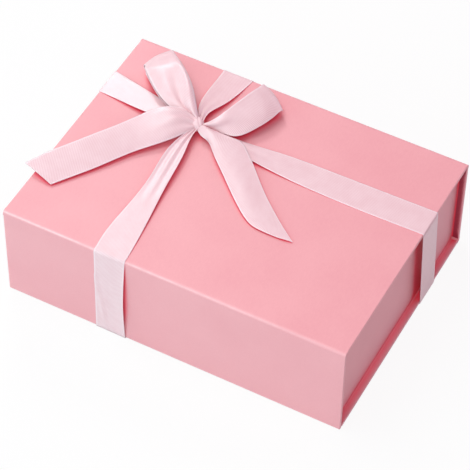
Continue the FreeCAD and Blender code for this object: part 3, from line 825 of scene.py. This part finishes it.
# edges and lines are for placed; other lengths are in millimetres
leftTailSizes = {
    "back": [
        (-2.0, 1.6, 6), (186.5, 109.3, 9.5), (171.5, 105.9, 11.5), (157.8, 107.6, 11), (143.8, 113, 9.8),
        (120, 123.5, 8.8), (95.8, 132.9, 8), (70, 143, 7), (48.7, 151.3, 6), (24.9, 162.9, 4.6),
    ],
    "front": [
        (-0.9, -3.4, 5), (189, 131.2, 5), (181, 135, 4.8), (169.2, 139.8, 4.5), (152, 145.6, 3.8),
        (134.8, 151.3, 3), (114, 159.8, 2.6), (93.5, 168.5, 2.2), (72, 176.6, 1.8), (50.8, 184.5, 1.5),
    ],
    "marks": (0, 0.5, 1), "rows": 110,
    "rise": 0.4, "crown": 1.6, "crownAt": 2.2, "crownSpread": 1.8,   # the last two in stations
    "pleats": 3.0, "pleatDepth": 0.55, "pleatFade": 0.32, "pleatPhase": 0.4,
}


def makeLeftTail(sizes):
    # three lines along: both edges, and a middle one raised by the crown where the tail humps out of the knot
    back = placed(sizes["back"])
    front = placed(sizes["front"])
    swell = np.exp(-(((np.arange(len(back)) - sizes["crownAt"]) / sizes["crownSpread"]) ** 2))
    middle = (back + front) / 2
    middle[:, 2] += (sizes["crown"] * swell + sizes["rise"]) * mm
    grid = pleated(loftLines([front, middle, back], sizes["rows"], sizes["marks"]), sizes)
    piece = ribbonPiece("bowTailLeft", grid, ["bow_tail_left"])
    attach(piece, "lid")


frontTailSizes = {
    "left": [
        (-0.2, -4.5, 4.5), (201.1, 135.9, 4.4), (208, 141.4, 3.8), (213.5, 154, 3.2), (219.5, 167.3, 2.7),
        (229.3, 188.8, 2), (240, 210.2, 1.5), (247.1, 220.9, 1.2), (254.3, 227.1, 1), (277.7, 237.7, 0.8),
    ],
    "strip": [
        (1.5, -3.4, 7.2), (204.8, 130.3, 7.4), (209.5, 138.5, 6), (218, 152, 4.4), (225, 166, 3.6),
        (235.5, 187.5, 2.9), (247, 209.5, 2.2), (255, 221.5, 1.6), (262, 229, 1.3), (281.6, 238.8, 1),
    ],
    "right": [
        (2.4, -1.6, 7), (214.6, 130.7, 6.8), (229.4, 136.8, 6.2), (241.3, 142.3, 5), (246.5, 150, 3.8),
        (254, 166.2, 2.7), (263, 189, 2), (272.5, 208.5, 1.5), (281, 223.6, 1.1), (292.7, 242.3, 0.8),
    ],
    "marks": (0, 0.2, 0.6, 1), "rows": 110,
    "crowns": (0.8, 0.16),   # beside the knot and at the cut end
}


def makeFrontTail(sizes):
    # four lines along: left edge, the strip's ridge, a middle raised by the crown, and the right edge
    left, strip, right = (placed(sizes[line]) for line in ("left", "strip", "right"))
    middle = (strip + right) / 2
    middle[1:, 2] += np.linspace(*sizes["crowns"], len(middle) - 1) * mm
    grid = loftLines([left, strip, middle, right], sizes["rows"], sizes["marks"])
    piece = ribbonPiece("bowTailFront", grid, ["bow_tail_front"])
    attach(piece, "lid")


loopSizes = {
    "bowLoopBack": {
        "lines": [
            [(-4.2, 0.6, 5.5), (172, 108, 8), (159, 94.5, 9.5), (149.5, 78.5, 10), (145.5, 69.5, 10),
             (145.2, 66, 8.5)],
            [(-3.9, 0.9, 7), (181, 105, 10), (173, 93, 11.5), (166, 77, 12.5), (160, 66, 12.8),
             (155.5, 57.5, 10.5)],
            [(-3.4, 1.3, 6.8), (186.2, 105.5, 10), (183, 91.5, 12.3), (180.3, 76.5, 13.5), (174, 64, 14),
             (166, 53, 11.5)],
            [(-2.6, 0.8, 7.5), (190.3, 105, 12), (187.8, 91, 14.5), (184.5, 75.5, 15.3), (178.6, 63.2, 14.8),
             (170, 51.6, 11.6)],
            [(-2.2, 1.8, 6), (196.4, 104, 10.5), (193.4, 89, 13), (188.4, 75.5, 14), (181.8, 63.5, 13.8),
             (173, 50.6, 11)],
        ],
        "marks": (0, 0.38, 0.72, 0.83, 1), "heading": 145, "reach": 2.2, "under": 4.6,
        "tucked": (0, 0, 0), "node": "bow_loop_back",
    },
    "bowLoopRight": {
        "lines": [
            [(3.0, -1.2, 5), (213, 129.5, 5.2), (233, 136.2, 5), (255, 129.2, 6), (270, 120, 7),
             (280.4, 111.3, 7)],
            [(2.6, -1.4, 6), (214, 126.5, 7.5), (235, 124.5, 8.5), (256, 117.5, 9.5), (269, 109.5, 9.8),
             (276.5, 102, 9.2)],
            [(2.2, -1.2, 7), (213, 123.5, 9.5), (231, 116.5, 11), (250, 106, 12), (264, 97.5, 12.2),
             (270.5, 92.5, 11.4)],
            [(1.2, -0.6, 6.5), (210.4, 121.2, 9), (225.3, 111.3, 12), (243, 98, 14), (255, 89.5, 14.2),
             (262.6, 84.4, 13.2)],
        ],
        "marks": (0, 0.33, 0.67, 1), "heading": 52, "reach": 1.8, "under": 3.2,
        "tucked": (-1.5, 2.9, 0), "node": "bow_loop_right",
    },
}
loopShape = {
    "rows": 130,
    "pinned": 2.0,   # how close before the turn each run is held
    "turnStations": (50, 0, -50),   # degrees round the end
    "drawnIn": 0.85,   # width of the lower run at the knot, as a share of the upper
    "follow": 0.12,   # share of the upper run's rise that the lower one takes
    "knotHeight": 4.5,
}


def makeLoop(name, sizes, shape):
    # out over the top by its stations, round the end on half an ellipse, and back underneath below the same
    # lines, tucked back a little and drawn in towards the knot
    top = np.array([placed(line) for line in sizes["lines"]])
    heading = math.radians(sizes["heading"])
    ahead = np.array([math.cos(heading), math.sin(heading), 0]) * sizes["reach"] * mm
    centre = top.mean(0, keepdims=True)
    lower = centre + (top - centre) * np.linspace(shape["drawnIn"], 1, top.shape[1])[None, :, None]
    lower[:, 1:] += np.array(sizes["tucked"]) * mm
    rise = top[..., 2] - top[..., 2].min()
    lower[..., 2] = lidHigh.z + sizes["under"] * mm + rise * shape["follow"]
    lower[:, 0, 2] = lidHigh.z + shape["knotHeight"] * mm
    turn = np.radians(shape["turnStations"])[None, :, None]
    half = (top[:, -1:] - lower[:, -1:]) / 2
    end = (top[:, -1:] + lower[:, -1:]) / 2 + ahead * np.cos(turn) + half * np.sin(turn)
    # one more station close before the turn on each run, so that the spline doesn't swing out there
    runs = []
    for run in (top, lower):
        back = run[:, -2:-1] - run[:, -1:]
        near = run[:, -1:] + back * shape["pinned"] * mm / np.linalg.norm(back, axis=2, keepdims=True)
        runs.append(np.concatenate([run[:, :-1], near, run[:, -1:]], axis=1))
    lines = np.concatenate([runs[0], end, runs[1][:, ::-1]], axis=1)
    grid = loftLines(lines, shape["rows"], sizes["marks"])
    piece = ribbonPiece(name, grid, [sizes["node"]], lookUp=False)
    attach(piece, "lid")


knotSizes = {
    "length": 10.5, "width": 7.4, "height": 6.6, "heading": -52, "pinch": 0.25, "closing": 0.995,
    "pleats": 3, "pleatDepth": 0.1, "pleatSway": 0.25, "pleatSharpness": 6,
    "at": (-2.0, -0.2, 1.3), "flat": (10.5, 20.0), "columns": 90, "rows": 41,
}


def makeKnot(sizes):
    # a band rolled over the strands: a ring of half axes length and height, as wide as width, that closes at
    # both rims as sqrt(1 - w^3) and is cut by pleats running round it
    around = np.linspace(0, 2 * np.pi, sizes["columns"], endpoint=False)
    across = np.sin(np.linspace(-np.pi / 2, np.pi / 2, sizes["rows"]))
    w, a = np.meshgrid(across, around, indexing="ij")
    belly = np.sqrt(1 - (sizes["closing"] * np.abs(w)) ** 3)
    cut = np.abs(np.sin(np.pi * sizes["pleats"] / 2 * (w + sizes["pleatSway"] * np.sin(a))))
    girth = belly * (1 - sizes["pleatDepth"] * cut ** sizes["pleatSharpness"])
    x = sizes["length"] / 2 * np.cos(a) * girth
    y = sizes["width"] / 2 * w * (1 - sizes["pinch"] * np.cos(a) ** 2)
    z = sizes["height"] / 2 * (1 + np.sin(a) * girth)
    turn = math.radians(sizes["heading"])
    turnedX = x * math.cos(turn) - y * math.sin(turn)
    turnedY = x * math.sin(turn) + y * math.cos(turn)
    grid = fromKnot(np.stack([turnedX, turnedY, z], -1) + np.array(sizes["at"]))
    uv = np.stack([(w + 1) / 2 * ribbonWidth, a * sizes["length"] / 2 * mm], -1)
    band = meshFrom("bowKnot", grid, gridFaces(grid, closed=True), satinRibbon, uv)
    piece = thicken(band, ribbonThick, -1)
    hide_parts("bow_knot")
    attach(piece, "lid")


makeKnot(knotSizes)
makeLeftTail(leftTailSizes)
makeFrontTail(frontTailSizes)
for name, sizes in loopSizes.items():
    makeLoop(name, sizes, loopShape)
print("bow tied")


# floor, light and camera

def seenDirectly(tree):
    # 1 on rays from the camera and on those that gloss or glass sends on, else 0
    path = addNode(tree, "LightPath").outputs
    seen = reckon(tree, "ADD", path["Is Camera Ray"], path["Is Glossy Ray"])
    return reckon(tree, "ADD", seen, path["Is Transmission Ray"], clamped=True)


def showMixed(tree, share, first, second, output):
    mixed = addNode(tree, "MixShader", {0: share, 1: first.outputs[0], 2: second.outputs[0]})
    tree.links.new(mixed.outputs[0], tree.nodes[output].inputs[0])


floorLook = {
    "half": 4,   # metres from the middle to each side
    "pale": (0.86, 0.86, 0.86, 1),
    "glow": 0.91,   # share of plain white where the floor is seen directly
}


def makeFloor(look):
    corners = look["half"] * np.array([(-1, -1, 0), (1, -1, 0), (1, 1, 0), (-1, 1, 0)])
    material, tree, shader = newMaterial("floorWhite", Roughness=0.9, Specular_IOR_Level=0.1)
    shader.inputs["Base Color"].default_value = look["pale"]
    white = addNode(tree, "Emission", {"Color": (1, 1, 1, 1), "Strength": 1.0})
    share = spread(tree, seenDirectly(tree), 0, 1, 0, look["glow"])
    showMixed(tree, share, shader, white, "Material Output")
    meshFrom("floor", corners, np.array([(0, 1, 2, 3)]), material)


worldLook = {
    "dim": (0.82, 0.55, 0.74),
    "bright": (1.0, 0.68, 0.73),
    "strength": (0.20, 0.52),
    "brightSide": (-0.85, -0.25, 0.45),
}


def makeWorld(look):
    # soft light that rises evenly from the dim side to the bright side
    world = bpy.data.worlds.new("studio")
    world.use_nodes = True
    scene.world = world
    tree = world.node_tree
    ambient = tree.nodes["Background"]
    ray = addNode(tree, "TexCoord").outputs["Generated"]
    sides = {0: ray, 1: look["brightSide"]}
    towards = addNode(tree, "VectorMath", sides, operation="DOT_PRODUCT").outputs["Value"]
    colour = mixColours(tree, spread(tree, towards, -1, 1), look["dim"], look["bright"])
    tree.links.new(colour, ambient.inputs["Color"])
    tree.links.new(spread(tree, towards, -1, 1, *look["strength"]), ambient.inputs["Strength"])
    white = addNode(tree, "Background", {"Color": (1, 1, 1, 1), "Strength": 1.0})
    showMixed(tree, seenDirectly(tree), ambient, white, "World Output")


lampAim = Vector((0, 0, 0.04))   # the middle of the box, nearly
lamps = {
    "keyLeft": {
        "towards": (-0.30, -0.10, 0.95), "distance": 1.1, "size": (0.5, 0.5),
        "power": 4.0, "colour": (0.84, 1.0, 0.97),
    },
    "glossLeft": {
        "towards": (-0.52, 0.52, 0.68), "distance": 1.0, "size": (0.25, 0.25),
        "power": 2.6, "colour": (0.95, 1.0, 1.0),
    },
    "fillFront": {
        "towards": (-0.35, -0.88, 0.32), "distance": 1.3, "size": (1.8, 0.7),
        "power": 10.0, "colour": (0.44, 0.95, 0.96),
    },
    "fillHigh": {
        "towards": (0.22, -0.58, 0.78), "distance": 1.3, "size": (0.6, 0.6),
        "power": 4.6, "colour": (1.0, 0.74, 0.78),
    },
    "kickRight": {
        "towards": (0.50, 0.80, 0.38), "distance": 1.1, "size": (0.2, 0.2),
        "power": 1.0, "colour": (0.80, 0.62, 0.98),
    },
}


def makeLamp(name, lamp):
    light = bpy.data.lights.new(name, "AREA")
    light.shape = "RECTANGLE"
    light.size, light.size_y = lamp["size"]
    light.energy = lamp["power"]
    light.color = lamp["colour"]
    stand = bpy.data.objects.new(name, light)
    scene.collection.objects.link(stand)
    towards = Vector(lamp["towards"]).normalized()
    stand.location = lampAim + towards * lamp["distance"]
    stand.rotation_euler = towards.to_track_quat("Z", "Y").to_euler()


def makeCamera(view):
    axes, at = cameraAxes(view)
    data = bpy.data.cameras.new("camera")
    data.lens = view["focal"] / view["photoSide"] * data.sensor_width
    camera = bpy.data.objects.new("camera", data)
    scene.collection.objects.link(camera)
    camera.matrix_world = Matrix.Translation(at) @ Matrix(axes.T.tolist()).to_4x4()
    scene.camera = camera


makeFloor(floorLook)
makeWorld(worldLook)
for name, lamp in lamps.items():
    makeLamp(name, lamp)
makeCamera(cameraView)
print("stage, lamps and camera set")

bpy.context.view_layer.update()
